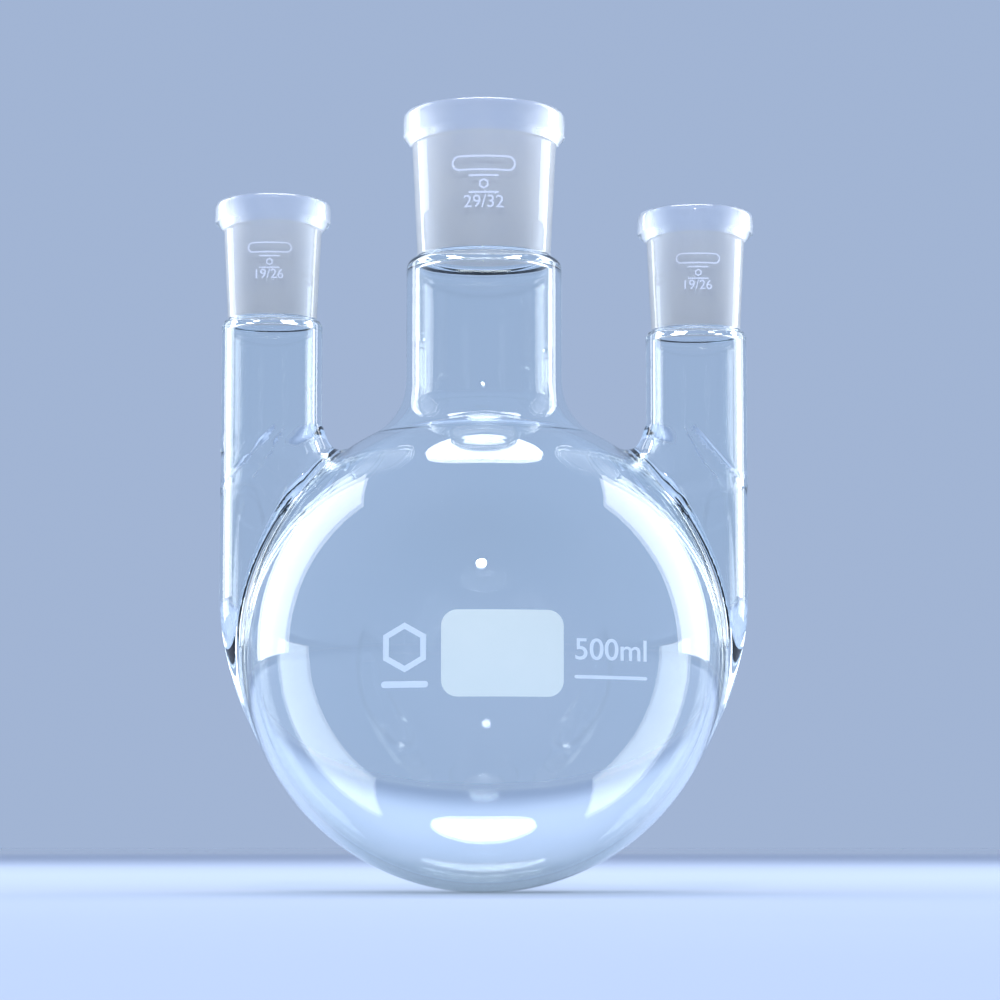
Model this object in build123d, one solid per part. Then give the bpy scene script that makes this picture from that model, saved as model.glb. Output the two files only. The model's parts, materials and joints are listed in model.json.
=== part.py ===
from build123d import *
import os
from math import asin, cos, degrees, radians, sin

# Round bottom flask of borosilicate glass, 500 ml, with a centre neck and two parallel side necks.
# Millimetres. Z is up, and 0 is the lowest point of the ball. X runs from the left neck to the right
# neck. The marking is on the front, which faces -Y.

# Ball
BALL_R = 52.5
BALL_WALL = 2.0

# Centre neck: a tube that flares out to the ball in one tangent arc
NECK_R = 17.0
NECK_WALL = 2.0
FLARE_R = 14.0

# Side necks: parallel to the centre neck, and so far out that they stand past the ball's side
SIDE_X = 46.4
SIDE_R = 11.0
SIDE_WALL = 1.5

# Foot of a side neck: below BEND_Z its outer wall bends in to the ball, and its inner wall bends sooner,
# so that the glass is thick where the pocket between the foot and the ball ends
BEND_Z = 65.0
OUTER_BEND_R = 64.4
INNER_BEND_R = 27.3
OUTER_BEND_TURN = 32
INNER_BEND_TURN = 33

# Throat: the oblique passage from the ball into a side neck
THROAT_ANGLE = 47.8
THROAT_R = 9.9
THROAT_BORE_R = 7.8

# Ground sockets: large end diameter and ground length of the standard 1:10 joints
TAPER = 0.1
CENTRE_LARGE, CENTRE_LENGTH = 29.2, 32.0
SIDE_LARGE, SIDE_LENGTH = 18.8, 26.0
SOCKET_WALL = 1.65
CENTRE_RIM_R, CENTRE_RIM_HEIGHT = 17.8, 7.6
SIDE_RIM_R, SIDE_RIM_HEIGHT = 12.7, 6.6
RIM_SLOPE = 1.8
RIM_TOP_ROUND, RIM_SIDE_ROUND, RIM_FOOT_ROUND, LIP_ROUND = 1.7, 1.6, 1.8, 0.8

# Shoulders under the sockets: outer and inner rounds
CENTRE_SHOULDER_ROUNDS = (2.2, 1.4)
SIDE_SHOULDER_ROUNDS = (1.2, 1.0)

# Heights of the rims, of the shoulder zone under each side socket, and of the welds between the side
# necks and their feet
CENTRE_TOP = 170.8
SIDE_TOPS = {"left": 150.8, "right": 148.4}
SIDE_SHOULDER = 6.0
SEAM_Z = 101.0

# Marking on the front
PRINT_THICKNESS = 0.12
FIELD_WIDTH, FIELD_HEIGHT, FIELD_CORNER = 24.6, 17.4, 3.2
FIELD_X, FIELD_Z = 4.0, 48.6
CAPACITY_HEIGHT, CAPACITY_X, CAPACITY_Z = 4.6, 26.0, 49.6
CAPACITY_LINE_WIDTH, CAPACITY_LINE_DROP = 15.0, 5.6
MARK_X, MARK_Z, MARK_R, MARK_LINE = -15.7, 49.8, 5.0, 1.3
MARK_BAR_WIDTH, MARK_BAR_DROP = 9.5, 7.4
STROKE, GAP = 0.16, 0.16  # of the characters, in heights

# Etched mark on each socket, in heights of its digits: a plain oval ring, then a hexagon between two
# lines, then the joint's nominal size
CENTRE_DIGITS, SIDE_DIGITS = 2.6, 1.8
DIGITS_DROP = 2.55
LINE_RISES, LINE_WIDTH, LINE_HEIGHT = (0.75, 2.15), 2.5, 0.17
HEXAGON_RISE, HEXAGON_R = 1.45, 0.45
OVAL_RISE, OVAL_WIDTH, OVAL_HEIGHT = 3.2, 5.3, 1.3

BALL_CENTRE = (0, 0, BALL_R)
BEYOND = 150  # past the whole flask, from its axis
STANDING = (Align.CENTER, Align.CENTER, Align.MIN)


# Tools for profiles and welds

def spun(points, rounds):
    """A solid of revolution about Z from (radius, height) points, with (radius, height, fillet) rounds."""
    profile = make_face(Polyline(*points, close=True))
    for radius, height, fillet_r in rounds:
        corner = profile.vertices().sort_by_distance((radius, height, 0))[0]
        profile = fillet(corner, fillet_r)
    return revolve(Plane.XZ * profile, Axis.Z)


def ball(radius):
    return Pos(*BALL_CENTRE) * Sphere(radius)


def slab(low, high):
    """A block wider than the flask, from one height to another."""
    return Pos(0, 0, (low + high) / 2) * Box(2 * BEYOND, 2 * BEYOND, high - low)


# Centre neck and ball

def flare_angle():
    """The angle from the vertical, at the ball's centre, where the flare runs into the ball."""
    return asin((NECK_R + FLARE_R) / (BALL_R + FLARE_R))


def flare_height():
    """The height of the flare arc's centre, where the straight neck begins."""
    return BALL_R + (BALL_R + FLARE_R) * cos(flare_angle())


def on_ball(radius, angle):
    """The (radius, height) of a point on a sphere about the ball's centre."""
    return radius * sin(angle), BALL_R + radius * cos(angle)


def bulb_blank():
    """The ball's shell, open where the flare takes over."""
    angle = flare_angle()
    inner_r = BALL_R - BALL_WALL
    mouth = degrees(angle)
    centre = (0, BALL_R)
    outer = CenterArc(centre, BALL_R, -90, 180 - mouth)
    inner = CenterArc(centre, inner_r, -90, 180 - mouth)
    edge = Line(on_ball(inner_r, angle), on_ball(BALL_R, angle))
    bottom = Line((0, BALL_R - inner_r), (0, 0))
    profile = make_face([outer, edge, inner, bottom])
    return revolve(Plane.XZ * profile, Axis.Z)


def throat(side, radius, reach):
    """A cylinder from the ball's centre along a side neck's oblique passage."""
    sign = -1 if side == "left" else 1
    along = Plane(BALL_CENTRE, z_dir=(sign * sin(radians(THROAT_ANGLE)), 0, cos(radians(THROAT_ANGLE))))
    return along * Cylinder(radius, reach, align=STANDING)


def throat_reach():
    """The distance along the passage from the ball's centre to the side neck's axis."""
    return SIDE_X / sin(radians(THROAT_ANGLE))


def bulb():
    shell = bulb_blank()
    for side in SIDE_TOPS:
        shell -= throat(side, THROAT_BORE_R, throat_reach())
    return shell


def shoulder_points(tube_r, wall, socket_outer_r, socket_inner_r, base, top):
    """The profile of a tube, closed in at the top to the foot of its socket."""
    inner_r = tube_r - wall
    step = top - wall
    return [
        (inner_r, base),
        (tube_r, base),
        (tube_r, top),
        (socket_outer_r, top),
        (socket_inner_r, top),
        (socket_inner_r, step),
        (inner_r, step),
    ]


def centre_neck():
    """The flare, the straight neck and the shoulder under the centre socket."""
    start = flare_height()
    top = CENTRE_TOP - CENTRE_LENGTH
    small_r = CENTRE_LARGE / 2 - TAPER * CENTRE_LENGTH / 2
    inner_r = NECK_R - NECK_WALL
    points = shoulder_points(NECK_R, NECK_WALL, small_r + SOCKET_WALL, small_r, start, top)
    outer_round, inner_round = CENTRE_SHOULDER_ROUNDS
    rounds = [(NECK_R, top, outer_round), (inner_r, top - NECK_WALL, inner_round)]
    straight = spun(points, rounds)

    centre = (NECK_R + FLARE_R, start)
    turn = 90 - degrees(flare_angle())
    outer = CenterArc(centre, FLARE_R, 180, turn)
    inner = CenterArc(centre, FLARE_R + NECK_WALL, 180, turn)
    lip = Line(on_ball(BALL_R - NECK_WALL, flare_angle()), on_ball(BALL_R, flare_angle()))
    joint = Line((inner_r, start), (NECK_R, start))
    flare = revolve(Plane.XZ * make_face([outer, lip, inner, joint]), Axis.Z)
    return straight + flare


# Side necks

def bend(radius, bend_r, turn):
    """The bent-in lower end of a side neck: a round section turned about a level axis, on the right."""
    centre_x = SIDE_X + radius - bend_r
    section = Pos(SIDE_X, 0, BEND_Z) * Circle(radius)
    return revolve(section, Axis((centre_x, 0, BEND_Z), (0, 1, 0)), turn)


def side_form(side, radius, throat_r, bend_r, turn, top):
    """The full form, outside or inside, of a side neck from its bent foot to a height."""
    tube = Pos(SIDE_X, 0, BEND_Z) * Cylinder(radius, top - BEND_Z, align=STANDING)
    form = tube + bend(radius, bend_r, turn)
    if side == "left":
        form = mirror(form, Plane.YZ)
    return form + throat(side, throat_r, throat_reach())


def side_shell(side):
    """The wall of a side neck below its shoulder, cut to sit on the ball."""
    top = SIDE_TOPS[side] - SIDE_LENGTH - SIDE_SHOULDER
    outer = side_form(side, SIDE_R, THROAT_R, OUTER_BEND_R, OUTER_BEND_TURN, top)
    inner = side_form(side, SIDE_R - SIDE_WALL, THROAT_BORE_R, INNER_BEND_R, INNER_BEND_TURN, top + 1)
    return outer - inner - ball(BALL_R)


def side_foot(side):
    return side_shell(side) & slab(0, SEAM_Z)


def side_neck(side):
    """The tube above the weld, with the shoulder under its socket."""
    top = SIDE_TOPS[side] - SIDE_LENGTH
    small_r = SIDE_LARGE / 2 - TAPER * SIDE_LENGTH / 2
    inner_r = SIDE_R - SIDE_WALL
    base = top - SIDE_SHOULDER
    points = shoulder_points(SIDE_R, SIDE_WALL, small_r + SOCKET_WALL, small_r, base, top)
    outer_round, inner_round = SIDE_SHOULDER_ROUNDS
    rounds = [(SIDE_R, top, outer_round), (inner_r, top - SIDE_WALL, inner_round)]
    sign = -1 if side == "left" else 1
    shoulder = Pos(sign * SIDE_X, 0, 0) * spun(points, rounds)
    return (side_shell(side) & slab(SEAM_Z, base)) + shoulder


# Ground sockets

def socket(x, large, length, rim_r, rim_height, top):
    """A ground socket with a rolled rim: the bore tapers 1:10, and the outside follows it."""
    large_r = large / 2
    small_r = large_r - TAPER * length / 2
    rim_foot = top - rim_height
    rim_side = rim_foot + RIM_SLOPE
    body_r = large_r - TAPER * rim_height / 2 + SOCKET_WALL
    base = top - length
    points = [
        (small_r, base),
        (small_r + SOCKET_WALL, base),
        (body_r, rim_foot),
        (rim_r, rim_side),
        (rim_r, top),
        (large_r, top),
    ]
    rounds = [
        (rim_r, top, RIM_TOP_ROUND),
        (rim_r, rim_side, RIM_SIDE_ROUND),
        (body_r, rim_foot, RIM_FOOT_ROUND),
        (large_r, top, LIP_ROUND),
    ]
    return Pos(x, 0, 0) * spun(points, rounds)


# Marking

def arc_edge(x, y, radius, start, turn):
    return CenterArc((x, y), radius, start, turn)


def glyph_edges(name):
    """The strokes of a character one unit high, standing on y = 0 and starting at x = 0, and its width."""
    right = 0.56
    if name == "0":
        return [Ellipse(right / 2, 0.5).edges()[0].moved(Location((right / 2, 0.5)))], right
    if name == "1":
        return [Line((0.26, 0), (0.26, 1)), Line((0.26, 1), (0.04, 0.8))], 0.4
    if name == "2":
        bowl = arc_edge(0.28, 0.72, 0.28, 160, -195)
        return [bowl, Line(bowl @ 1, (0, 0)), Line((0, 0), (right, 0))], right
    if name == "3":
        top = arc_edge(0.26, 0.74, 0.26, 150, -240)
        bottom = arc_edge(0.27, 0.27, 0.27, 75, -225)
        return [top, bottom], right
    if name == "5":
        bowl = arc_edge(0.25, 0.32, 0.32, 128, -278)
        corner = (0.1, 1)
        return [Line((0.52, 1), corner), Line(corner, bowl @ 0), bowl], right
    if name == "6":
        ring = arc_edge(0.28, 0.28, 0.28, 0, 360)
        return [ring, arc_edge(0.56, 0.32, 0.56, 180, -62)], right
    if name == "9":
        ring = arc_edge(0.28, 0.72, 0.28, 0, 360)
        return [ring, arc_edge(0, 0.68, 0.56, 0, -62)], right
    if name == "/":
        return [Line((0, -0.1), (0.36, 1.1))], 0.36
    if name == "m":
        arches = [arc_edge(x, 0.5, 0.2, 180, -180) for x in (0.2, 0.6)]
        stems = [Line((x, 0), (x, 0.5)) for x in (0.4, 0.8)]
        return [Line((0, 0), (0, 0.7)), *stems, *arches], 0.8
    if name == "l":
        return [Line((0.05, 0), (0.05, 1.05))], 0.1
    raise ValueError(name)


def word(text, height):
    """Flat characters in a row, centred on the origin, as one sketch in the XY plane."""
    flat = Sketch()
    at = 0
    for name in text:
        edges, width = glyph_edges(name)
        strokes = [trace(edge, STROKE) for edge in edges]
        for stroke in strokes:
            flat += Pos(at, 0) * stroke
        at += width + GAP
    return Pos(-(at - GAP) * height / 2, -height / 2) * scale(flat, height)


def bar(width, height):
    """A bar with round ends."""
    return SlotOverall(width, height)


def hexagon_ring(radius, line):
    outer = RegularPolygon(radius, 6, rotation=30)
    return outer - RegularPolygon(radius - line, 6, rotation=30)


def on_front(flat, x, z):
    """A flat sketch as a bar along Y, in front of the flask's mid plane, with its middle at x and z."""
    return extrude(Pos(x, 0, z) * (Plane.XZ * flat), BEYOND)


def printed_on_ball(flat, x, z):
    """A flat sketch as a thin print on the front of the ball."""
    skin = ball(BALL_R + PRINT_THICKNESS) - ball(BALL_R)
    return on_front(flat, x, z) & skin


def socket_mark(text, height):
    """The etched mark of a socket, with the middle of its digits at the origin."""
    line = LINE_HEIGHT * height
    oval_width, oval_height = OVAL_WIDTH * height, OVAL_HEIGHT * height
    oval = bar(oval_width, oval_height) - bar(oval_width - 2 * line, oval_height - 2 * line)
    mark = word(text, height)
    mark += Pos(0, HEXAGON_RISE * height) * hexagon_ring(HEXAGON_R * height, line)
    mark += Pos(0, OVAL_RISE * height) * oval
    for rise in LINE_RISES:
        mark += Pos(0, rise * height) * bar(LINE_WIDTH * height, line)
    return mark


def etched_on_socket(x, large, length, digits, top):
    """The etched mark as a thin skin on the front of a socket."""
    text = f"{round(large)}/{round(length)}"
    small_r = large / 2 - TAPER * length / 2 + SOCKET_WALL
    large_r = large / 2 + SOCKET_WALL
    wall = Cone(small_r, large_r, length)
    skin = Cone(small_r + PRINT_THICKNESS, large_r + PRINT_THICKNESS, length) - wall
    middle = top - length / 2
    flat = socket_mark(text, digits)
    return on_front(flat, x, middle - DIGITS_DROP * digits) & Pos(x, 0, middle) * skin


def marking_field():
    return printed_on_ball(RectangleRounded(FIELD_WIDTH, FIELD_HEIGHT, FIELD_CORNER), FIELD_X, FIELD_Z)


def capacity_print():
    """The capacity over a thin line."""
    line = Pos(0, -CAPACITY_LINE_DROP) * bar(CAPACITY_LINE_WIDTH, STROKE * CAPACITY_HEIGHT)
    flat = word("500ml", CAPACITY_HEIGHT) + line
    return printed_on_ball(flat, CAPACITY_X, CAPACITY_Z)


def plain_mark():
    """A hexagonal ring over a short bar."""
    flat = hexagon_ring(MARK_R, MARK_LINE) + Pos(0, -MARK_BAR_DROP) * bar(MARK_BAR_WIDTH, MARK_LINE)
    return printed_on_ball(flat, MARK_X, MARK_Z)


# Writing the pieces

def pieces():
    """Every piece of the flask by name."""
    centre = (0, CENTRE_LARGE, CENTRE_LENGTH)
    made = {
        "bulb": bulb(),
        "centre_neck": centre_neck(),
        "centre_socket": socket(*centre, CENTRE_RIM_R, CENTRE_RIM_HEIGHT, CENTRE_TOP),
        "centre_size_print": etched_on_socket(*centre, CENTRE_DIGITS, CENTRE_TOP),
        "marking_field": marking_field(),
        "capacity_print": capacity_print(),
        "plain_mark": plain_mark(),
    }
    for side, top in SIDE_TOPS.items():
        x = -SIDE_X if side == "left" else SIDE_X
        made[f"{side}_foot"] = side_foot(side)
        made[f"{side}_neck"] = side_neck(side)
        joint = (x, SIDE_LARGE, SIDE_LENGTH)
        made[f"{side}_socket"] = socket(*joint, SIDE_RIM_R, SIDE_RIM_HEIGHT, top)
        made[f"{side}_size_print"] = etched_on_socket(*joint, SIDE_DIGITS, top)
    return made


os.makedirs("parts", exist_ok=True)
for name, piece in pieces().items():
    export_step(piece, f"parts/{name}.step")
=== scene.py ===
import json
import math

import bmesh
import bpy
import numpy as np
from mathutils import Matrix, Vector


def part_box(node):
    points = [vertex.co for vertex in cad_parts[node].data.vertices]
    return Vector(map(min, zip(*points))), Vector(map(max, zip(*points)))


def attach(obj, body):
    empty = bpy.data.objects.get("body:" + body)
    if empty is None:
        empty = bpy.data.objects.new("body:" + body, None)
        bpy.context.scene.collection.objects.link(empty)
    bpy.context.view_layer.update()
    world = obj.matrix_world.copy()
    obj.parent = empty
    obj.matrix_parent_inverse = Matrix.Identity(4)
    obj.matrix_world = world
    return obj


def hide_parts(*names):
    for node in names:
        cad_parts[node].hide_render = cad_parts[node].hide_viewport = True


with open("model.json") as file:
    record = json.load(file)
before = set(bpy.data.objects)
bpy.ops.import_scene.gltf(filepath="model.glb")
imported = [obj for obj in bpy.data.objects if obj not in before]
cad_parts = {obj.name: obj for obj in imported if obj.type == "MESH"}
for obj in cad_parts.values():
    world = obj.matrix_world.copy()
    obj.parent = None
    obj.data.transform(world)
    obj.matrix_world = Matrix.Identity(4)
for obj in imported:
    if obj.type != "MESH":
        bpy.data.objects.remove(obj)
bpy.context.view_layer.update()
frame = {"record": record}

# Three-neck round bottom flask. Metres. The ball and the feet of the side necks are one blown and
# welded surface, so they come from one field, and necks and sockets are turned from profiles. Where two
# pieces are welded, both have a clear cut face, which light crosses as if the glass went on.

MM = 0.001
SIDES = {"left": -1, "right": 1}


# Sizes from the frame

def size_of(node):
    low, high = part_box(node)
    return [b - a for a, b in zip(low, high)]


def middle_of(node):
    low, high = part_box(node)
    return [(a + b) / 2 for a, b in zip(low, high)]


mounts = {m["name"]: m for m in frame["record"]["mounts"]}
BALL_R = size_of("bulb")[0] / 2
BALL_WALL = 2.0 * MM
NECK_R = mounts["neck_clamp"]["dims"]["r_mm"] * MM
NECK_WALL = 2.0 * MM
FLARE_R = 14.0 * MM
FLARE_ANGLE = math.asin((NECK_R + FLARE_R) / (BALL_R + FLARE_R))
FLARE_X = NECK_R + FLARE_R
FLARE_Z = BALL_R + (BALL_R + FLARE_R) * math.cos(FLARE_ANGLE)
SIDE_X = middle_of("right_socket")[0]
SIDE_R = size_of("right_neck")[1] / 2
SIDE_WALL = 1.5 * MM
CENTRE_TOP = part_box("centre_socket")[1][2]
CENTRE_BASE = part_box("centre_socket")[0][2]
SIDE_TOPS = {side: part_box(f"{side}_socket")[1][2] for side in SIDES}
SIDE_BASES = {side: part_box(f"{side}_socket")[0][2] for side in SIDES}
SEAMS = {side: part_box(f"{side}_neck")[0][2] for side in SIDES}

# Ground sockets
TAPER = 0.05  # of the radius over the height: 1:10 on the diameter
CENTRE_LARGE_R = 14.6 * MM
SIDE_LARGE_R = 9.4 * MM
SOCKET_WALL = 1.65 * MM
CENTRE_RIM_HEIGHT = 7.6 * MM
SIDE_RIM_HEIGHT = 6.6 * MM
RIM_SLOPE = 1.8 * MM
RIM_TOP_ROUND, RIM_SIDE_ROUND, RIM_FOOT_ROUND, LIP_ROUND = 1.7 * MM, 0.8 * MM, 1.1 * MM, 0.8 * MM

# Shoulders between the necks and their sockets
CENTRE_SHOULDER_ROUNDS = (2.2 * MM, 1.2 * MM)  # outside, inside
SIDE_SHOULDER_ROUNDS = (1.2 * MM, 0.8 * MM)
SHOULDER_LIFT = 0.8 * MM  # how far the shoulder ends below the weld
SHOULDER_SLOPE = 1.2  # inside: rise over run
SHOULDER_EDGE_ROUND = 0.8 * MM
CENTRE_SEGMENTS = 192
PROFILE_STEP = 1.2 * MM
ARC_STEP = math.radians(7)

# Feet of the side necks
BEND_Z = 65.0 * MM
OUTER_BEND_R = 64.4 * MM
INNER_BEND_R = 27.3 * MM
BEND_END = math.radians(45)  # well inside the ball
THROAT_ANGLE = math.radians(47.8)
THROAT_R = 9.9 * MM
THROAT_BORE_R = 7.8 * MM
THROAT_INSIDE = 9.0 * MM  # how far the passage starts inside the ball
FOOT_EDGE = 0.4 * MM  # how far off the ball a foot's glass begins
FEET_FROM_X = 26 * MM  # nothing of a foot is nearer to the flask's middle

# The faint rings that the weld leaves around each side neck
WELD_MARK_Z = {"left": 96.0 * MM, "right": 88.0 * MM}
WELD_MARK_LEAN = 0.12
WELD_SWELL, WELD_SWELL_WIDTH = 0.16 * MM, 1.6 * MM
WELD_NICK, WELD_NICK_WIDTH, WELD_NICK_DROP = 0.10 * MM, 0.9 * MM, 2.6 * MM

# Fillets of the blown glass
THROAT_FILLET = 4.0 * MM
POCKET_EDGE = 0.9 * MM
POCKET_FILLET = 1.6 * MM
MOUTH_FILLET = 1.2 * MM

# The grid for the welded surface
PITCH = SIDE_R / 13.5
COARSE = 1.14 * MM
GRID_MARGIN = 3.0 * MM
FINE_IN, FINE_OUT = 27 * PITCH, 17 * PITCH  # from a side neck's axis
FINE_FROM_Z = 36.0 * MM


# Fields: signed distances in metres, negative inside

def length(*parts):
    return np.sqrt(sum(part * part for part in parts))


def join(a, b, radius):
    """The union of two fields, with a fillet."""
    near_both = length(np.maximum(radius - a, 0), np.maximum(radius - b, 0))
    return np.maximum(radius, np.minimum(a, b)) - near_both


def meet(a, b, radius):
    """What two fields share, with a rounded edge."""
    return -join(-a, -b, radius)


def smooth(low, high, value):
    t = np.clip((value - low) / (high - low), 0, 1)
    return t * t * (3 - 2 * t)


def ball_distance(x, y, z):
    return length(x, y, z - BALL_R)


def flared_ball(x, y, z, inset):
    """The ball with its flared neck, set in by a wall."""
    r = length(x, y)
    neck = np.maximum(r - (NECK_R - inset), BALL_R - z)
    plain = np.minimum(ball_distance(x, y, z) - (BALL_R - inset), neck)
    dr, dz = r - FLARE_X, z - FLARE_Z
    in_flare = (dz < 0) & (math.cos(FLARE_ANGLE) * dr - math.sin(FLARE_ANGLE) * dz < 0)
    return np.where(in_flare, FLARE_R + inset - length(dr, dz), plain)


def bent_tube(x, y, z, radius, bend_r):
    """A side neck that bends in to the ball below BEND_Z. x is positive on both sides."""
    straight = length(x - SIDE_X, y) - radius
    centre_x = SIDE_X + radius - bend_r
    turned = length(length(x - centre_x, z - BEND_Z) - (bend_r - radius), y) - radius
    past_end = (BEND_Z - z) * math.cos(BEND_END) - (x - centre_x) * math.sin(BEND_END)
    return np.where(z > BEND_Z, straight, np.maximum(turned, past_end))


def throat(x, y, z, radius):
    """The oblique passage between the ball and a side neck."""
    sin, cos = math.sin(THROAT_ANGLE), math.cos(THROAT_ANGLE)
    along = x * sin + (z - BALL_R) * cos
    across = length(x * cos - (z - BALL_R) * sin, y) - radius
    low, high = BALL_R - THROAT_INSIDE, SIDE_X / sin
    return np.maximum(across, np.maximum(low - along, along - high))


def weld_marks(x, z):
    """How much the weld swells the radius of a side neck, with a nick below the swell."""
    height = np.where(x < 0, WELD_MARK_Z["left"], WELD_MARK_Z["right"])
    above = z - height - WELD_MARK_LEAN * (np.abs(x) - SIDE_X)
    swell = np.exp(-((above / WELD_SWELL_WIDTH) ** 2))
    nick = np.exp(-(((above + WELD_NICK_DROP) / WELD_NICK_WIDTH) ** 2))
    return WELD_SWELL * swell - WELD_NICK * nick


def foot_fillet(z):
    """The fillet between a foot and the ball: tight at the pocket's tip, and wider towards the top."""
    return 0.8 * MM + 1.4 * MM * smooth(40 * MM, 68 * MM, z) + 1.8 * MM * smooth(70 * MM, 96 * MM, z)


def glass(x, y, z):
    """The ball, the flare and the feet of the side necks, with the necks running on upwards."""
    across = np.abs(x)
    ball = flared_ball(x, y, z, 0)
    tube = bent_tube(across, y, z, SIDE_R, OUTER_BEND_R) - weld_marks(x, z)
    foot = join(tube, throat(across, y, z, THROAT_R), THROAT_FILLET)
    outside = join(ball, foot, foot_fillet(z))

    ball_inside = flared_ball(x, y, z, BALL_WALL)
    bore = bent_tube(across, y, z, SIDE_R - SIDE_WALL, INNER_BEND_R)
    pocket = meet(bore, BALL_R - ball_distance(x, y, z), POCKET_EDGE)
    pocket = join(pocket, throat(across, y, z, THROAT_BORE_R), POCKET_FILLET)
    inside = join(ball_inside, pocket, MOUTH_FILLET)
    return np.maximum(outside, -inside)


def gradient(field, points, step=0.02 * MM):
    out = np.empty_like(points)
    for axis in range(3):
        shift = np.zeros(3)
        shift[axis] = step
        ahead, behind = points + shift, points - shift
        out[:, axis] = (field(*ahead.T) - field(*behind.T)) / (2 * step)
    return out


# A field's surface as quads

CELL_CORNERS = [(i, j, k) for i in (0, 1) for j in (0, 1) for k in (0, 1)]


def at_corner(array, corner):
    """The grid's values at one corner of every cell."""
    return array[tuple(slice(n, n + size - 1) for n, size in zip(corner, array.shape))]


def net_points(value, mixed, axes):
    """For each mixed cell, the mean of the places where the surface crosses its edges."""
    cells = np.argwhere(mixed)
    total, count = np.zeros((len(cells), 3)), np.zeros((len(cells), 1))
    for axis in range(3):
        for start in (c for c in CELL_CORNERS if c[axis] == 0):
            end = tuple(1 if n == axis else s for n, s in enumerate(start))
            a = at_corner(value, start)[mixed]
            b = at_corner(value, end)[mixed]
            crossed = (a < 0) != (b < 0)
            part = np.where(crossed, a / np.where(crossed, a - b, 1), 0)
            place = np.tile(np.array(start, float), (len(cells), 1))
            place[:, axis] += part
            total += place * crossed[:, None]
            count += crossed[:, None]
    places = (cells + total / count).T
    return np.stack([np.interp(at, np.arange(len(axis)), axis) for at, axis in zip(places, axes)], 1)


def net_quads(solid, number):
    """A quad over each grid edge that the surface crosses, between the four cells around that edge."""
    quads = []
    for axis in range(3):
        before = [slice(None)] * 3
        after = [slice(None)] * 3
        before[axis], after[axis] = slice(None, -1), slice(1, None)
        change = solid[tuple(after)].astype(np.int8) - solid[tuple(before)]
        u, v = [n for n in range(3) if n != axis]
        edges = np.argwhere(change != 0)
        edges = edges[(edges[:, u] > 0) & (edges[:, v] > 0)]
        edges = edges[(edges[:, u] < number.shape[u]) & (edges[:, v] < number.shape[v])]
        ring = []
        for du, dv in ((-1, -1), (0, -1), (0, 0), (-1, 0)):
            cell = edges.copy()
            cell[:, u] += du
            cell[:, v] += dv
            ring.append(number[tuple(cell.T)])
        quad = np.stack(ring, 1)
        sign = change[tuple(edges.T)] * (-1 if axis == 1 else 1)
        quad[sign > 0] = quad[sign > 0][:, ::-1]
        quads.append(quad)
    return np.concatenate(quads)


def surface_net(field, axes):
    """One vertex in each grid cell that the surface crosses, and the quads between them."""
    value = field(*np.meshgrid(*axes, indexing="ij"))
    solid = value < 0
    filled = sum(at_corner(solid, corner).astype(np.int8) for corner in CELL_CORNERS)
    mixed = (filled > 0) & (filled < len(CELL_CORNERS))
    number = np.full(mixed.shape, -1)
    number[mixed] = np.arange(mixed.sum())
    return net_points(value, mixed, axes), net_quads(solid, number)


def settle(field, points, moving, rounds=3):
    """Move points onto the surface."""
    for _ in range(rounds):
        p = points[moving]
        g = gradient(field, p)
        f = field(*p.T)
        points[moving] = p - g * (f / np.maximum((g * g).sum(1), 1e-9))[:, None]


def even_out(field, points, quads, moving, rounds):
    """Slide points along the surface towards the middle of their neighbours."""
    pairs = np.concatenate([quads[:, [0, 1]], quads[:, [1, 2]], quads[:, [2, 3]], quads[:, [3, 0]]])
    pairs = np.unique(np.sort(pairs, 1), axis=0)
    ends, others = np.concatenate([pairs, pairs[:, ::-1]]).T
    degree = np.bincount(ends, minlength=len(points))[:, None]
    for _ in range(rounds):
        mean = np.stack([np.bincount(ends, points[others, n], len(points)) for n in range(3)], 1)
        step = mean / np.maximum(degree, 1) - points
        normal = gradient(field, points)
        normal /= np.linalg.norm(normal, axis=1, keepdims=True)
        step -= normal * (step * normal).sum(1, keepdims=True)
        points[moving] += 0.5 * step[moving]
        settle(field, points, moving, rounds=1)


# Where the welded surface is cut

def cone_cut(x, y, z):
    """Negative on the side of the centre neck."""
    return math.cos(FLARE_ANGLE) * length(x, y) - math.sin(FLARE_ANGLE) * (z - BALL_R)


def foot_cut(x, y, z):
    """Positive outside the ball, where the feet are."""
    return ball_distance(x, y, z) - BALL_R - FOOT_EDGE


def seam_cut(side):
    return lambda x, y, z: z - SEAMS[side]


BULB, LEFT_FOOT, RIGHT_FOOT, ABOVE_NECK, ABOVE_LEFT, ABOVE_RIGHT = range(6)
CUTS = {
    (BULB, ABOVE_NECK): cone_cut,
    (BULB, LEFT_FOOT): foot_cut,
    (BULB, RIGHT_FOOT): foot_cut,
    (LEFT_FOOT, ABOVE_LEFT): seam_cut("left"),
    (RIGHT_FOOT, ABOVE_RIGHT): seam_cut("right"),
}


def label(points):
    """Which piece each point of the welded surface belongs to."""
    x, y, z = points.T
    out = np.full(len(points), BULB)
    out[cone_cut(x, y, z) < 0] = ABOVE_NECK
    for side, foot, above in (("left", LEFT_FOOT, ABOVE_LEFT), ("right", RIGHT_FOOT, ABOVE_RIGHT)):
        off_ball = (x * SIDES[side] > FEET_FROM_X) & (foot_cut(x, y, z) > 0)
        out[off_ball] = foot
        out[off_ball & (z > SEAMS[side])] = above
    return out


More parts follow.
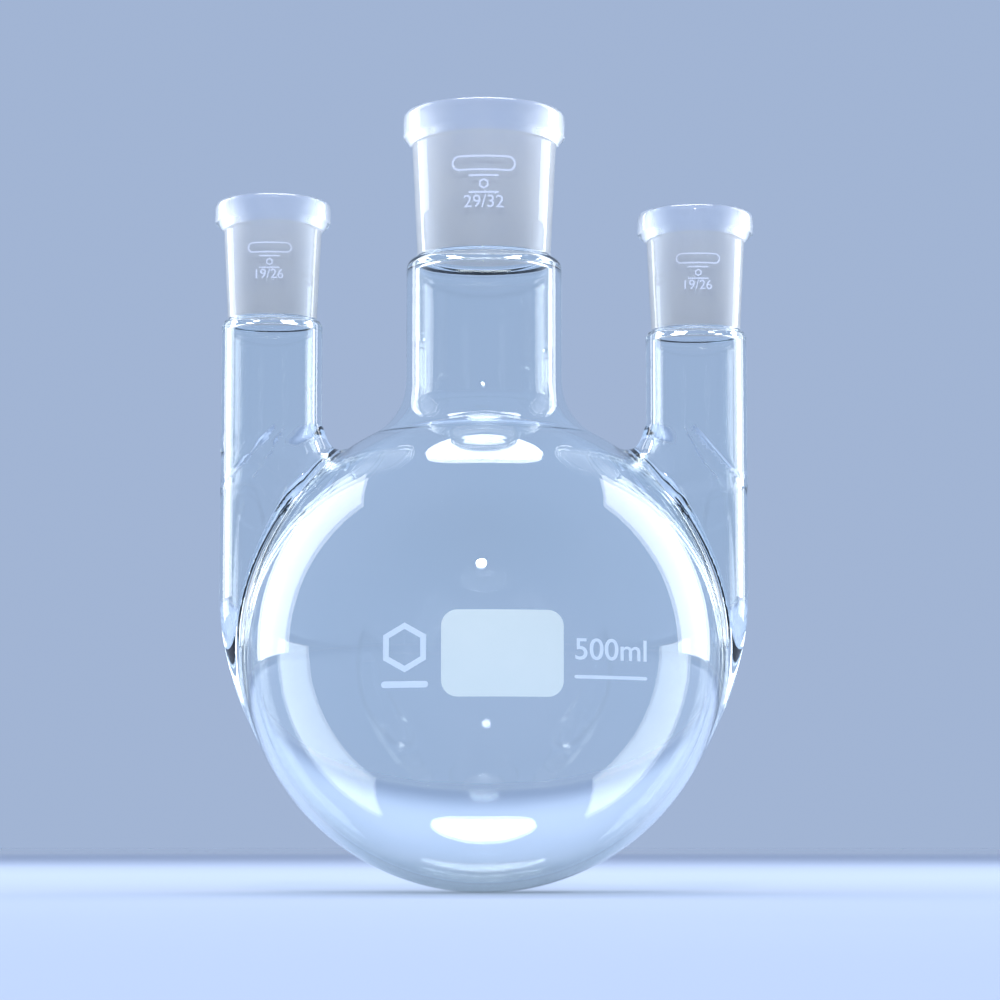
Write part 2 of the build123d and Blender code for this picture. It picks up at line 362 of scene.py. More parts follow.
def edges_between(quads, labels):
    """The edges where two labels meet, as {(label, label): [(vertex, vertex), ...]}, each directed as in
    the face with the lower label."""
    faces = np.repeat(np.arange(len(quads)), 4)
    starts = quads.ravel()
    ends = np.roll(quads, -1, 1).ravel()
    key = np.minimum(starts, ends) * (starts.max() + 1) + np.maximum(starts, ends)
    order = np.argsort(key, kind="stable")
    key, faces, starts, ends = key[order], faces[order], starts[order], ends[order]
    pair = np.flatnonzero(key[1:] == key[:-1])
    found = {}
    for n in pair[labels[faces[pair]] != labels[faces[pair + 1]]]:
        a, b = (n, n + 1) if labels[faces[n]] < labels[faces[n + 1]] else (n + 1, n)
        names = (int(labels[faces[a]]), int(labels[faces[b]]))
        found.setdefault(names, []).append((int(starts[a]), int(ends[a])))
    return found


def unpinch(quads, labels, rounds=20):
    """Relabel a face wherever a seam would touch itself at a vertex."""
    for _ in range(rounds):
        pinched = set()
        for names, edges in edges_between(quads, labels).items():
            starts, uses = np.unique([edge[0] for edge in edges], return_counts=True)
            pinched.update((int(vertex), *names) for vertex in starts[uses > 1])
        if not pinched:
            return
        for vertex, lower, upper in sorted(pinched):
            around = np.flatnonzero((quads == vertex).any(1) & (labels == upper))
            if len(around):
                labels[around[0]] = lower


def loops_of(edges):
    """Closed loops of vertices, longest first, from directed edges."""
    following = dict(edges)
    loops = []
    while following:
        start, at = next(iter(following.items()))
        loop = [start]
        del following[start]
        while at != start:
            loop.append(at)
            at = following.pop(at)
        loops.append(loop)
    return sorted(loops, key=len, reverse=True)


def snap(points, seam, cut, rounds=8, least_det=0.02):
    """Move the vertices of a seam onto the curve where the surface meets the cut. least_det keeps the
    steps short where the two are nearly parallel."""
    p = points[seam]
    for _ in range(rounds):
        f, g = glass(*p.T), cut(*p.T)
        a, b = gradient(glass, p), gradient(cut, p)
        aa, bb, ab = (a * a).sum(1), (b * b).sum(1), (a * b).sum(1)
        det = np.maximum(aa * bb - ab * ab, least_det)
        s, t = (f * bb - g * ab) / det, (g * aa - f * ab) / det
        step = a * s[:, None] + b * t[:, None]
        size = np.linalg.norm(step, axis=1, keepdims=True)
        p = p - step * np.minimum(1, PITCH / np.maximum(size, 1e-12))
    points[seam] = p


def zip_loops(points, outer, inner):
    """Triangles between two loops that run round each other."""
    inner = inner[::-1]
    gap = np.linalg.norm(points[inner] - points[outer[0]], axis=1)
    turn = int(gap.argmin())
    inner = inner[turn:] + inner[:turn]
    triangles = []
    i = j = 0
    n, m = len(outer), len(inner)
    while i < n or j < m:
        a, b = outer[i % n], inner[j % m]
        next_a, next_b = outer[(i + 1) % n], inner[(j + 1) % m]
        on_outer = np.linalg.norm(points[next_a] - points[b])
        on_inner = np.linalg.norm(points[next_b] - points[a])
        if j >= m or (i < n and on_outer <= on_inner):
            triangles.append((b, next_a, a))
            i += 1
        else:
            triangles.append((b, next_b, a))
            j += 1
    return triangles


# Making mesh pieces

CLEAR, WELD, GROUND = range(3)  # the material slots of glass


def new_piece(name, points, faces, corner_normals, slots, materials):
    """A smooth closed piece, with a normal for each corner of each face."""
    mesh = bpy.data.meshes.new(name)
    mesh.from_pydata([tuple(p) for p in points], [], faces)
    for material in materials:
        mesh.materials.append(material)
    mesh.polygons.foreach_set("material_index", slots)
    mesh.polygons.foreach_set("use_smooth", [True] * len(faces))
    mesh.update()
    mesh.normals_split_custom_set(corner_normals)
    piece = bpy.data.objects.new(name, mesh)
    bpy.context.scene.collection.objects.link(piece)
    return piece


def steps(*stops):
    """Grid places from (place, pitch) stops, with even steps of about that pitch up to the next stop."""
    runs = []
    for (low, pitch), (high, _) in zip(stops, stops[1:]):
        runs.append(np.linspace(low, high, round((high - low) / pitch), endpoint=False))
    return np.concatenate([*runs, [stops[-1][0]]])


def blown_grid():
    """The grid for the welded surface: fine at the side necks, and coarser where there is only the ball.
    The fine steps keep the sides of the side necks half way between grid planes."""
    inside, outside = SIDE_X - FINE_IN, SIDE_X + FINE_OUT
    x = steps((-outside, PITCH), (-inside, COARSE), (inside, PITCH), (outside, 0))
    reach = BALL_R + GRID_MARGIN
    y = steps((-reach, COARSE), (-FINE_OUT, PITCH), (FINE_OUT, COARSE), (reach, 0))
    z = steps((-GRID_MARGIN, COARSE), (FINE_FROM_Z, PITCH), (max(SEAMS.values()) + GRID_MARGIN, 0))
    return x, y, z


def caps_of(piece_label, points, seams):
    """The triangles that close a piece's walls at its seams."""
    caps = []
    for pair, edges in seams.items():
        if piece_label in pair:
            outer, inner = loops_of(edges)[:2]
            strip = zip_loops(points, outer, inner)
            caps += strip if pair[0] == piece_label else [t[::-1] for t in strip]
    return np.array(caps)


def blown_pieces(materials):
    """The ball and the two feet, from the welded surface."""
    points, quads = surface_net(glass, blown_grid())
    everything = np.ones(len(points), bool)
    settle(glass, points, everything, rounds=4)
    even_out(glass, points, quads, everything, rounds=6)

    labels = label(points[quads].mean(1))
    unpinch(quads, labels)
    seams = {pair: edges for pair, edges in edges_between(quads, labels).items() if pair in CUTS}
    on_seam = np.zeros(len(points), bool)
    for pair, edges in seams.items():
        vertices = np.unique(edges)
        snap(points, vertices, CUTS[pair])
        on_seam[vertices] = True
    even_out(glass, points, quads, ~on_seam, rounds=4)
    normals = gradient(glass, points)
    normals /= np.linalg.norm(normals, axis=1, keepdims=True)

    made = {}
    for piece_label, name in ((BULB, "bulb"), (LEFT_FOOT, "left_foot"), (RIGHT_FOOT, "right_foot")):
        own = quads[labels == piece_label]
        caps = caps_of(piece_label, points, seams)
        used = np.unique(np.concatenate([own.ravel(), caps.ravel()]))
        place = np.full(len(points), -1)
        place[used] = np.arange(len(used))
        faces = place[own].tolist() + place[caps].tolist()
        cap_points = points[caps]
        flat = np.cross(cap_points[:, 1] - cap_points[:, 0], cap_points[:, 2] - cap_points[:, 0])
        flat /= np.maximum(np.linalg.norm(flat, axis=1, keepdims=True), 1e-20)
        corner_normals = np.concatenate([normals[own].reshape(-1, 3), np.repeat(flat, 3, 0)])
        slots = [CLEAR] * len(own) + [WELD] * len(caps)
        made[name] = new_piece(f"{name}_glass", points[used], faces, corner_normals, slots, materials)
    return made


def fillet_arc(before, here, after, radius):
    """A corner's fillet: where it begins, where it ends, and its runs of (start, end, start normal,
    end normal)."""
    back = (before - here) / np.linalg.norm(before - here)
    on = (after - here) / np.linalg.norm(after - here)
    half = math.acos(float(np.clip(back @ on, -1, 1))) / 2
    reach = radius / math.tan(half)
    begin, end = here + back * reach, here + on * reach
    middle = here + (back + on) / np.linalg.norm(back + on) * radius / math.sin(half)
    sign = 1 if back[0] * on[1] < back[1] * on[0] else -1
    first, last = [math.atan2(*(p - middle)[::-1]) for p in (begin, end)]
    turn = (last - first + math.pi) % (2 * math.pi) - math.pi
    count = max(4, math.ceil(abs(turn) / ARC_STEP))
    angles = [first + turn * k / count for k in range(count + 1)]
    ring = [np.array((math.cos(t), math.sin(t))) for t in angles]
    arc = [(middle + radius * u, middle + radius * v, sign * u, sign * v) for u, v in zip(ring, ring[1:])]
    return begin, end, arc


def straight_runs(start, end, kind):
    """A straight stretch of a profile, in short runs."""
    gap = np.linalg.norm(end - start)
    if gap < 1e-9:
        return []
    normal = np.array((end[1] - start[1], start[0] - end[0])) / gap
    count = max(1, math.ceil(gap / PROFILE_STEP))
    places = [start + (end - start) * k / count for k in range(count + 1)]
    return [(p, q, normal, normal, kind) for p, q in zip(places, places[1:])]


def rounded_profile(corners):
    """Runs of a closed profile from (radius, height, fillet, kind) corners. kind is the surface from
    that corner on. Each run is (start, end, start normal, end normal, kind)."""
    places = [np.array(corner[:2]) for corner in corners]
    fillets = []
    for n, here in enumerate(places):
        radius = corners[n][2]
        before, after = places[n - 1], places[(n + 1) % len(places)]
        fillets.append(fillet_arc(before, here, after, radius) if radius else (here, here, []))
    runs = []
    for n, (_, end, arc) in enumerate(fillets):
        kind, kind_before = corners[n][3], corners[n - 1][3]
        arc_kind = kind if kind_before == WELD else kind_before
        runs += [(*run, arc_kind) for run in arc]
        next_begin = fillets[(n + 1) % len(fillets)][0]
        runs += straight_runs(end, next_begin, kind)
    return runs


def turned_piece(name, corners, x, materials, segments=144):
    """A ring turned from a profile about a vertical axis."""
    runs = rounded_profile(corners)
    angles = np.arange(segments) * 2 * math.pi / segments
    cos, sin = np.cos(angles), np.sin(angles)
    points = np.concatenate([
        np.stack([x + run[0][0] * cos, run[0][0] * sin, np.full(segments, run[0][1])], 1) for run in runs])
    rows = np.arange(segments)
    following = (rows + 1) % segments
    faces, corner_normals, slots = [], [], []
    for n, (_, _, u, v, kind) in enumerate(runs):
        a, b = n * segments, ((n + 1) % len(runs)) * segments
        faces.append(np.stack([a + rows, a + following, b + following, b + rows], 1))
        at_a = np.stack([u[0] * cos, u[0] * sin, np.full(segments, u[1])], 1)
        at_b = np.stack([v[0] * cos, v[0] * sin, np.full(segments, v[1])], 1)
        corner_normals.append(np.stack([at_a, at_a[following], at_b[following], at_b], 1))
        slots += [kind] * segments
    faces = np.concatenate(faces).tolist()
    corner_normals = np.concatenate(corner_normals).reshape(-1, 3)
    return new_piece(f"{name}_glass", points, faces, corner_normals, slots, materials)


def neck_corners(tube_r, wall, small_r, base, top, shoulder, inner_shoulder):
    """The straight tube from a level weld to the foot of its socket. Inside, the shoulder is blown to a
    slope."""
    outer_r = small_r + SOCKET_WALL
    inner_r = tube_r - wall
    slope_top = top - 0.6 * wall
    return [
        (tube_r, base, 0, CLEAR),
        (tube_r, top - SHOULDER_LIFT, shoulder, CLEAR),
        (outer_r, top - SHOULDER_LIFT, 0.9 * SHOULDER_LIFT, CLEAR),
        (outer_r, top, 0, WELD),
        (small_r, top, 0, CLEAR),
        (small_r, slope_top, SHOULDER_EDGE_ROUND, CLEAR),
        (inner_r, slope_top - SHOULDER_SLOPE * (inner_r - small_r), inner_shoulder, CLEAR),
        (inner_r, base, 0, WELD),
    ]


def centre_neck_corners(top):
    small_r = CENTRE_LARGE_R - TAPER * (CENTRE_TOP - CENTRE_BASE)
    corners = neck_corners(NECK_R, NECK_WALL, small_r, 0, top, *CENTRE_SHOULDER_ROUNDS)
    bend = (math.pi / 2 - FLARE_ANGLE) / 2

    def on_ball(radius):
        return radius * math.sin(FLARE_ANGLE), BALL_R + radius * math.cos(FLARE_ANGLE)

    inner_flare = FLARE_R + NECK_WALL
    corners[0] = (*on_ball(BALL_R), 0, CLEAR)
    corners.insert(1, (NECK_R, FLARE_Z - FLARE_R * math.tan(bend), FLARE_R, CLEAR))
    corners[-1] = (NECK_R - NECK_WALL, FLARE_Z - inner_flare * math.tan(bend), inner_flare, CLEAR)
    corners.append((*on_ball(BALL_R - BALL_WALL), 0, WELD))
    return corners


def socket_corners(large_r, rim_r, rim_height, base, top):
    small_r = large_r - TAPER * (top - base)
    body_r = large_r - TAPER * rim_height + SOCKET_WALL
    return [
        (small_r + SOCKET_WALL, base, 0, CLEAR),
        (body_r, top - rim_height, RIM_FOOT_ROUND, CLEAR),
        (rim_r, top - rim_height + RIM_SLOPE, RIM_SIDE_ROUND, CLEAR),
        (rim_r, top, RIM_TOP_ROUND, CLEAR),
        (large_r, top, LIP_ROUND, GROUND),
        (small_r, base, 0, WELD),
    ]


# Materials

def new_material(name):
    material = bpy.data.materials.new(name)
    material.use_nodes = True
    material.node_tree.nodes.clear()
    return material, material.node_tree


def add(tree, kind, inputs=None, **settings):
    """A node with its settings, and its inputs from values or from other nodes' output sockets."""
    node = tree.nodes.new(kind)
    for key, value in settings.items():
        setattr(node, key, value)
    for key, value in (inputs or {}).items():
        if isinstance(value, bpy.types.NodeSocket):
            tree.links.new(value, node.inputs[key])
        else:
            node.inputs[key].default_value = value
    return node


def waviness(tree, scale, detail, distance, strength):
    """A bump from soft noise in the object's own space."""
    place = add(tree, "ShaderNodeTexCoord").outputs["Object"]
    noise = add(tree, "ShaderNodeTexNoise", {"Vector": place, "Scale": scale, "Detail": detail})
    return add(tree, "ShaderNodeBump", {
        "Height": noise.outputs["Fac"], "Distance": distance, "Strength": strength}).outputs["Normal"]


def letting_light_by(tree, shader, tint):
    """Glass that lets lamps shine through to what stands behind it."""
    path = add(tree, "ShaderNodeLightPath")
    clear = add(tree, "ShaderNodeBsdfTransparent", {"Color": tint})
    return add(tree, "ShaderNodeMixShader", {
        0: path.outputs["Is Shadow Ray"], 1: shader, 2: clear.outputs[0]}).outputs[0]


GLASS_IOR = 1.473


def clear_glass():
    material, tree = new_material("clear_glass")
    normal = waviness(tree, scale=38, detail=2, distance=0.05 * MM, strength=0.5)
    place = add(tree, "ShaderNodeTexCoord").outputs["Object"]
    cloud = add(tree, "ShaderNodeTexNoise", {"Vector": place, "Scale": 20, "Detail": 2})
    tint = add(tree, "ShaderNodeMix", {
        0: cloud.outputs["Fac"], 6: (0.955, 0.985, 0.995, 1), 7: (0.985, 0.995, 1, 1)}, data_type="RGBA")
    body = add(tree, "ShaderNodeBsdfGlass", {
        "Color": tint.outputs[2], "Roughness": 0.0, "IOR": GLASS_IOR, "Normal": normal})
    out = letting_light_by(tree, body.outputs[0], (0.90, 0.93, 0.95, 1))
    add(tree, "ShaderNodeOutputMaterial", {"Surface": out})
    return material


# How white the bore is, from a socket's foot (0) to its rim (1): the ground part ends in a painted
# highlight, a bright band level with the rim's sloped underside, where light from below would catch
FROST_AND_RIM_HIGHLIGHT = [(0.0, 0.58), (0.77, 0.58), (0.785, 0.9), (0.80, 0.9), (0.815, 0.16), (1.0, 0.22)]


def grey(value):
    return value, value, value, 1


def ground_glass():
    """The frosted bore of a socket, with a painted highlight band level with the rim's underside."""
    material, tree = new_material("ground_glass")
    normal = waviness(tree, scale=2600, detail=3, distance=0.03 * MM, strength=0.6)
    place = add(tree, "ShaderNodeTexCoord").outputs["Object"]
    cloud = add(tree, "ShaderNodeTexNoise", {"Vector": place, "Scale": 160, "Detail": 5})
    tint = add(tree, "ShaderNodeMix", {
        0: cloud.outputs["Fac"], 6: (0.84, 0.89, 1, 1), 7: (0.91, 0.94, 1, 1)}, data_type="RGBA")
    rough = add(tree, "ShaderNodeMapRange", {
        "Value": cloud.outputs["Fac"], "To Min": 0.42, "To Max": 0.6})
    through = add(tree, "ShaderNodeBsdfGlass", {
        "Color": tint.outputs[2], "Roughness": rough.outputs[0], "IOR": GLASS_IOR, "Normal": normal})
    white = add(tree, "ShaderNodeBsdfDiffuse", {"Color": tint.outputs[2], "Normal": normal})
    glow = add(tree, "ShaderNodeBsdfTranslucent", {"Color": tint.outputs[2], "Normal": normal})
    scatter = add(tree, "ShaderNodeMixShader", {0: 0.5, 1: white.outputs[0], 2: glow.outputs[0]})
    share = add(tree, "ShaderNodeTexCoord").outputs["Generated"]
    height = add(tree, "ShaderNodeSeparateXYZ", {0: share}).outputs["Z"]
    # frosting from the ramp, with its painted highlight band at the rim
    frost_and_highlight = add(tree, "ShaderNodeValToRGB", {"Fac": height})
    stops = frost_and_highlight.color_ramp.elements
    stops[0].color, stops[1].color = grey(FROST_AND_RIM_HIGHLIGHT[0][1]), grey(FROST_AND_RIM_HIGHLIGHT[-1][1])
    for height_share, amount in FROST_AND_RIM_HIGHLIGHT[1:-1]:
        stops.new(height_share).color = grey(amount)
    body = add(tree, "ShaderNodeMixShader", {
        0: frost_and_highlight.outputs[0], 1: through.outputs[0], 2: scatter.outputs[0]})
    out = letting_light_by(tree, body.outputs[0], (0.90, 0.92, 0.94, 1))
    add(tree, "ShaderNodeOutputMaterial", {"Surface": out})
    return material


def weld():
    """A cut face inside the glass, which light crosses unbent."""
    material, tree = new_material("weld")
    clear = add(tree, "ShaderNodeBsdfTransparent", {"Color": (1, 1, 1, 1)})
    add(tree, "ShaderNodeOutputMaterial", {"Surface": clear.outputs[0]})
    return material


def enamel(name, light, dark, roughness):
    """Fired enamel: nearly even, with a fine grain and a soft shine."""
    material, tree = new_material(name)
    place = add(tree, "ShaderNodeTexCoord").outputs["Object"]
    cloud = add(tree, "ShaderNodeTexNoise", {"Vector": place, "Scale": 90, "Detail": 6, "Roughness": 0.6})
    tint = add(tree, "ShaderNodeMix", {0: cloud.outputs["Fac"], 6: dark, 7: light}, data_type="RGBA")
    shine = add(tree, "ShaderNodeMapRange", {
        "Value": cloud.outputs["Fac"], "To Min": roughness - 0.06, "To Max": roughness + 0.08})
    grain = waviness(tree, scale=1800, detail=3, distance=0.02 * MM, strength=0.5)
    body = add(tree, "ShaderNodeBsdfPrincipled", {
        "Base Color": tint.outputs[2], "Roughness": shine.outputs[0], "Normal": grain})
    add(tree, "ShaderNodeOutputMaterial", {"Surface": body.outputs[0]})
    return material


clear = clear_glass()
ground = ground_glass()
cut_face = weld()
glass_slots = [clear, cut_face, ground]

pieces = blown_pieces(glass_slots)
centre_rim_r = size_of("centre_socket")[0] / 2
pieces["centre_neck"] = turned_piece(
    "centre_neck", centre_neck_corners(CENTRE_BASE), 0, glass_slots, CENTRE_SEGMENTS)
pieces["centre_socket"] = turned_piece(
    "centre_socket",
    socket_corners(CENTRE_LARGE_R, centre_rim_r, CENTRE_RIM_HEIGHT, CENTRE_BASE, CENTRE_TOP),
    0, glass_slots, CENTRE_SEGMENTS)
for side, sign in SIDES.items():
    base, top = SIDE_BASES[side], SIDE_TOPS[side]
    small_r = SIDE_LARGE_R - TAPER * (top - base)
    rim_r = size_of(f"{side}_socket")[0] / 2
    pieces[f"{side}_neck"] = turned_piece(
        f"{side}_neck", neck_corners(SIDE_R, SIDE_WALL, small_r, SEAMS[side], base, *SIDE_SHOULDER_ROUNDS),
        sign * SIDE_X, glass_slots)
    pieces[f"{side}_socket"] = turned_piece(
        f"{side}_socket", socket_corners(SIDE_LARGE_R, rim_r, SIDE_RIM_HEIGHT, base, top),
        sign * SIDE_X, glass_slots)

for node, piece in pieces.items():
    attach(piece, "root")
    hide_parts(node)


# Marking: thin fired prints and etched marks, just clear of the glass

PRINT_GAP = 0.03 * MM
PRINT_THICKNESS = 0.12 * MM
SLICE = 0.8 * MM  # flat shapes are cut this fine, so that they follow the glass
FIELD_SIZE = (24.6 * MM, 17.4 * MM)
FIELD_CORNER = 3.2 * MM
FIELD_PLACE = (4.0 * MM, 48.6 * MM)
CAPACITY_PLACE = (26.0 * MM, 49.6 * MM)
CAPACITY_WIDTH = 14.7 * MM
CAPACITY_LINE = (15.0 * MM, 0.7 * MM)
CAPACITY_LINE_DROP = 5.6 * MM
MARK_PLACE = (-15.7 * MM, 49.8 * MM)
MARK_R = 5.0 * MM
MARK_LINE = 1.3 * MM
MARK_BAR = (9.5 * MM, 1.3 * MM)
MARK_BAR_DROP = 7.4 * MM

# The etched mark, in heights of its digits
CENTRE_DIGITS = 2.6 * MM
SIDE_DIGITS = 1.8 * MM
DIGITS_WIDTH = 3.3
DIGITS_DROP = 2.55
LINE_RISES, LINE_WIDTH, LINE_HEIGHT = (0.75, 2.15), 2.5, 0.17
HEXAGON_RISE, HEXAGON_R = 1.45, 0.45
OVAL_RISE, OVAL_WIDTH, OVAL_HEIGHT = 3.2, 5.3, 1.3


def outlines(*loops):
    """A filled flat shape from closed loops, with holes where loops lie in others."""
    curve = bpy.data.curves.new("outline", "CURVE")
    curve.dimensions = "2D"
    curve.fill_mode = "BOTH"
    for loop in loops:
        spline = curve.splines.new("POLY")
        spline.points.add(len(loop) - 1)
        spline.use_cyclic_u = True
        for point, (x, y) in zip(spline.points, loop):
            point.co = (x, y, 0, 1)
    return curve


def characters(text):
    curve = bpy.data.curves.new("characters", "FONT")
    curve.body = text
    curve.size = 10 * MM
    curve.offset = 0.06 * MM
    return curve


def rectangle(width, height, corner, rise=0):
    """The outline of a rectangle with round corners."""
    points = []
    for n, (right, up) in enumerate(((1, 1), (-1, 1), (-1, -1), (1, -1))):
        for k in range(9):
            t = (n + k / 8) * math.pi / 2
            points.append((right * (width / 2 - corner) + corner * math.cos(t),
                           rise + up * (height / 2 - corner) + corner * math.sin(t)))
    return points


def bar(width, height, rise=0):
    return rectangle(width, height, 0.49 * height, rise)


def hexagon(radius, rise=0):
    corners = [math.radians(30 + 60 * n) for n in range(6)]
    return [(radius * math.cos(t), rise + radius * math.sin(t)) for t in corners]


def flat_mesh(curve, width=None):
    """The thick flat mesh of a curve, and if a width is given, scaled to it and centred."""
    curve.extrude = PRINT_THICKNESS / 2
    holder = bpy.data.objects.new("holder", curve)
    mesh = bpy.data.meshes.new_from_object(holder)
    bpy.data.objects.remove(holder)
    if width:
        xs, ys = [[v.co[n] for v in mesh.vertices] for n in (0, 1)]
        factor = width / (max(xs) - min(xs))
        for v in mesh.vertices:
            v.co.x = (v.co.x - (max(xs) + min(xs)) / 2) * factor
            v.co.y = (v.co.y - (max(ys) + min(ys)) / 2) * factor
    return mesh


def sliced(meshes):
    """Flat meshes as one, cut by lines SLICE apart."""
    shape = bmesh.new()
    for mesh in meshes:
        shape.from_mesh(mesh)
    bmesh.ops.remove_doubles(shape, verts=shape.verts, dist=1e-6)
    for axis in (0, 1):
        places = [v.co[axis] for v in shape.verts]
        for cut in np.arange(min(places) + SLICE, max(places), SLICE):
            everything = shape.verts[:] + shape.edges[:] + shape.faces[:]
            at, across = [0, 0, 0], [0, 0, 0]
            at[axis], across[axis] = cut, 1
            bmesh.ops.bisect_plane(shape, geom=everything, plane_co=at, plane_no=across, dist=1e-7)
    return shape


def printed(name, meshes, place, on_surface, material):
    """Flat meshes laid on the glass. on_surface gives a point and the normal from x and z."""
    shape = sliced(meshes)
    facing = [round(face.normal.z) for face in shape.faces]
    normal_at = {}
    for v in shape.verts:
        lift = v.co.z + PRINT_THICKNESS / 2 + PRINT_GAP
        point, normal_at[v] = on_surface(place[0] + v.co.x, place[1] + v.co.y)
        v.co = point + normal_at[v] * lift
    shape.normal_update()
    normals = [
        normal_at[v] * side if side else np.array(face.normal)
        for face, side in zip(shape.faces, facing) for v in face.verts]
    mesh = bpy.data.meshes.new(name)
    shape.to_mesh(mesh)
    shape.free()
    mesh.materials.append(material)
    mesh.polygons.foreach_set("use_smooth", [True] * len(mesh.polygons))
    mesh.normals_split_custom_set(normals)
    piece = bpy.data.objects.new(name, mesh)
    bpy.context.scene.collection.objects.link(piece)
    return piece


def front_of_ball(x, z):
    rise = z - BALL_R
    point = np.array((x, -math.sqrt(BALL_R**2 - x**2 - rise**2), z))
    return point, (point - (0, 0, BALL_R)) / BALL_R


def front_of_socket(axis_x, large_r, top):
    """The front of a socket's cone."""
    def at(x, z):
        radius = large_r - TAPER * (top - z) + SOCKET_WALL
        across = x - axis_x
        depth = math.sqrt(radius**2 - across**2)
        normal = np.array((across, -depth, -TAPER * radius))
        return np.array((x, -depth, z)), normal / np.linalg.norm(normal)
    return at


def etched_mark(name, text, digits, axis_x, large_r, base, top):
    """A plain oval ring, then a hexagon between two lines, then the joint's nominal size."""
    line = LINE_HEIGHT * digits
    width, height = OVAL_WIDTH * digits, OVAL_HEIGHT * digits
    signs = outlines(
        bar(width, height, OVAL_RISE * digits),
        bar(width - 2 * line, height - 2 * line, OVAL_RISE * digits),
        hexagon(HEXAGON_R * digits, HEXAGON_RISE * digits),
        hexagon(HEXAGON_R * digits - line, HEXAGON_RISE * digits),
        *[bar(LINE_WIDTH * digits, line, rise * digits) for rise in LINE_RISES])
    meshes = [flat_mesh(signs), flat_mesh(characters(text), DIGITS_WIDTH * digits)]
    place = (axis_x, (base + top) / 2 - DIGITS_DROP * digits)
    return printed(name, meshes, place, front_of_socket(axis_x, large_r, top), etching)


field_enamel = enamel("field_enamel", (0.90, 0.95, 0.88, 1), (0.82, 0.90, 0.83, 1), 0.38)
print_enamel = enamel("print_enamel", (0.86, 0.93, 0.97, 1), (0.78, 0.88, 0.94, 1), 0.4)
etching = enamel("etching", (0.95, 0.95, 0.99, 1), (0.86, 0.88, 0.95, 1), 0.7)

prints = {
    "marking_field": printed(
        "enamel_field", [flat_mesh(outlines(rectangle(*FIELD_SIZE, FIELD_CORNER)))], FIELD_PLACE,
        front_of_ball, field_enamel),
    "capacity_print": printed(
        "capacity_500_ml",
        [flat_mesh(characters("500ml"), CAPACITY_WIDTH),
         flat_mesh(outlines(bar(*CAPACITY_LINE, -CAPACITY_LINE_DROP)))],
        CAPACITY_PLACE, front_of_ball, print_enamel),
    "plain_mark": printed(
        "plain_hexagon_mark",
        [flat_mesh(outlines(hexagon(MARK_R), hexagon(MARK_R - MARK_LINE), bar(*MARK_BAR, -MARK_BAR_DROP)))],
        MARK_PLACE, front_of_ball, print_enamel),
    "centre_size_print": etched_mark(
        "centre_size_29_32", "29/32", CENTRE_DIGITS, 0, CENTRE_LARGE_R, CENTRE_BASE, CENTRE_TOP),
}
for side, sign in SIDES.items():
    prints[f"{side}_size_print"] = etched_mark(
        f"{side}_size_19_26", "19/26", SIDE_DIGITS, sign * SIDE_X, SIDE_LARGE_R, SIDE_BASES[side],
        SIDE_TOPS[side])
for node, piece in prints.items():
    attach(piece, "root")
    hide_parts(node)


# Stage, light and camera

def new_mesh_object(name, points, faces, material):
    mesh = bpy.data.meshes.new(name)
    mesh.from_pydata(points, [], faces)
    mesh.materials.append(material)
    piece = bpy.data.objects.new(name, mesh)
    bpy.context.scene.collection.objects.link(piece)
    return piece


def floor_material():
    material, tree = new_material("floor")
    place = add(tree, "ShaderNodeTexCoord").outputs["Object"]
    cloud = add(tree, "ShaderNodeTexNoise", {"Vector": place, "Scale": 3, "Detail": 4})
    near = add(tree, "ShaderNodeMix", {
        0: cloud.outputs["Fac"], 6: (0.50, 0.58, 0.73, 1), 7: (0.54, 0.62, 0.76, 1)}, data_type="RGBA")
    # Painted light: farther out the floor turns to near white, which makes up for the lamps' light falling
    # off there
    reach = add(tree, "ShaderNodeVectorMath", {0: place}, operation="LENGTH").outputs["Value"]
    far_painted_light = add(tree, "ShaderNodeMapRange", {"Value": reach, "From Min": 1.2, "From Max": 4.0})
    tint = add(tree, "ShaderNodeMix", {
        0: far_painted_light.outputs[0], 6: near.outputs[2], 7: (0.96, 0.96, 0.97, 1)}, data_type="RGBA")
    body = add(tree, "ShaderNodeBsdfDiffuse", {"Color": tint.outputs[2], "Roughness": 0.5})
    add(tree, "ShaderNodeOutputMaterial", {"Surface": body.outputs[0]})
    return material


FLOOR_REACH = 12.0
floor_corners = [(x * FLOOR_REACH, y * FLOOR_REACH, 0) for x, y in ((-1, -1), (1, -1), (1, 1), (-1, 1))]
floor = new_mesh_object("floor", floor_corners, [(0, 1, 2, 3)], floor_material())


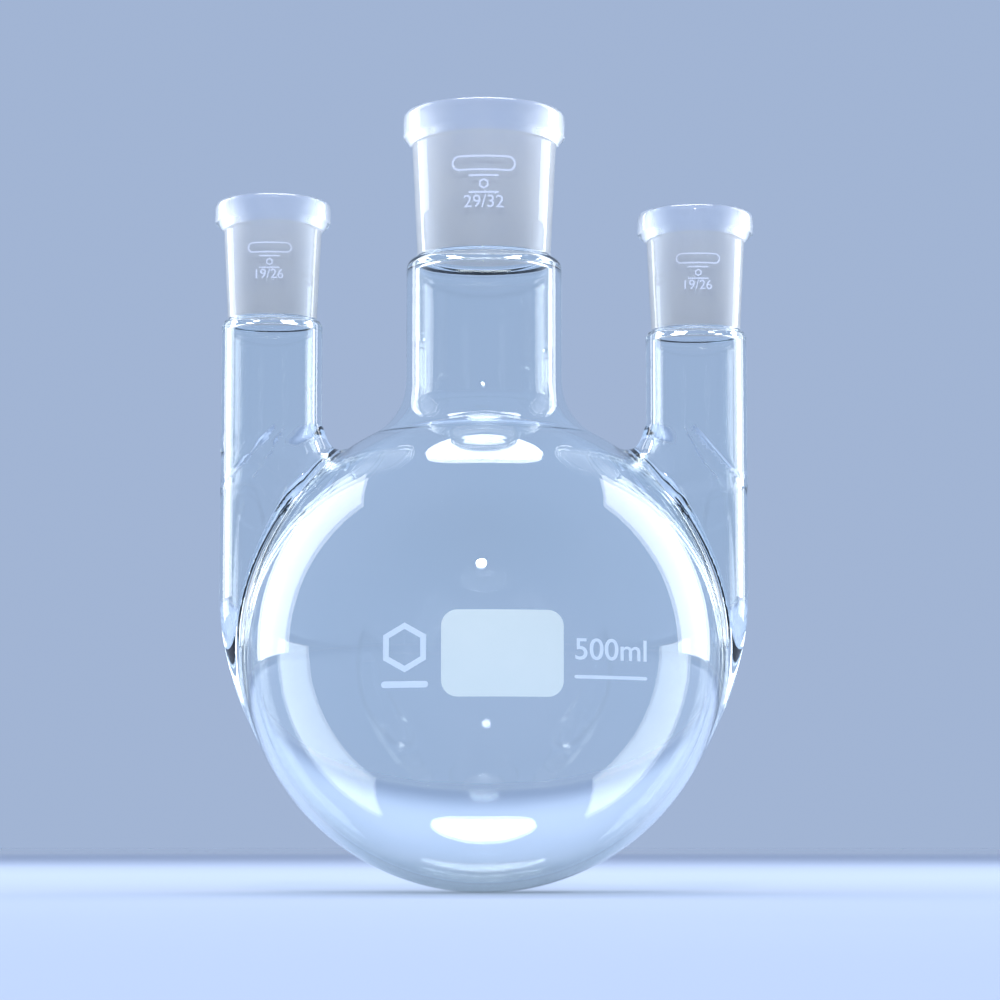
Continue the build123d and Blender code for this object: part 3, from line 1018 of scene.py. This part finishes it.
def aim(obj, target):
    way = Vector(target) - Vector(obj.location)
    obj.rotation_euler = way.to_track_quat("-Z", "Y").to_euler()


def lamp(name, place, target, size, power, shape="RECTANGLE"):
    light = bpy.data.lights.new(name, "AREA")
    light.shape = shape
    light.size, light.size_y = size
    light.energy = power
    obj = bpy.data.objects.new(name, light)
    obj.location = place
    aim(obj, target)
    obj.visible_camera = False
    bpy.context.scene.collection.objects.link(obj)


SIDE_LIGHT = 118  # degrees round from the camera, as seen from the flask
SIDE_REACH = 1.1
for side, sign in SIDES.items():
    turn = math.radians(sign * SIDE_LIGHT)
    lamp(f"{side}_box", place=(SIDE_REACH * math.sin(turn), -SIDE_REACH * math.cos(turn), 0.62),
         target=(0, 0, 0.25), size=(0.62, 1.2), power=9)
lamp("top_box", place=(0.0, 0.28, 1.1), target=(0, 0, 0.1), size=(0.62, 0.40), power=6, shape="ELLIPSE")
lamp("front_box", place=(-0.02, -0.98, 0.76), target=(0, 0, 0.08), size=(0.09, 0.09), power=3.6,
     shape="ELLIPSE")

STUDIO_BLUE = (0.36, 0.46, 0.66, 1)
world = bpy.data.worlds.new("studio")
bpy.context.scene.world = world
world.use_nodes = True
world.node_tree.nodes.clear()
back = add(world.node_tree, "ShaderNodeBackground", {"Color": STUDIO_BLUE, "Strength": 1.0})
add(world.node_tree, "ShaderNodeOutputWorld", {"Surface": back.outputs[0]})

cycles = bpy.context.scene.cycles
cycles.max_bounces = 24
cycles.transmission_bounces = 24
cycles.transparent_max_bounces = 24
cycles.glossy_bounces = 8
cycles.caustics_reflective = False
cycles.caustics_refractive = False
bpy.context.scene.view_settings.view_transform = "Standard"

CAMERA_X = 0.0035  # a little right of the flask's axis
camera = bpy.data.objects.new("camera", bpy.data.cameras.new("camera"))
camera.data.sensor_width = 36
camera.data.lens = 116.3
camera.location = (CAMERA_X, -0.70, 0.010)
aim(camera, (CAMERA_X, 0, 0.085))
bpy.context.scene.collection.objects.link(camera)
bpy.context.scene.camera = camera
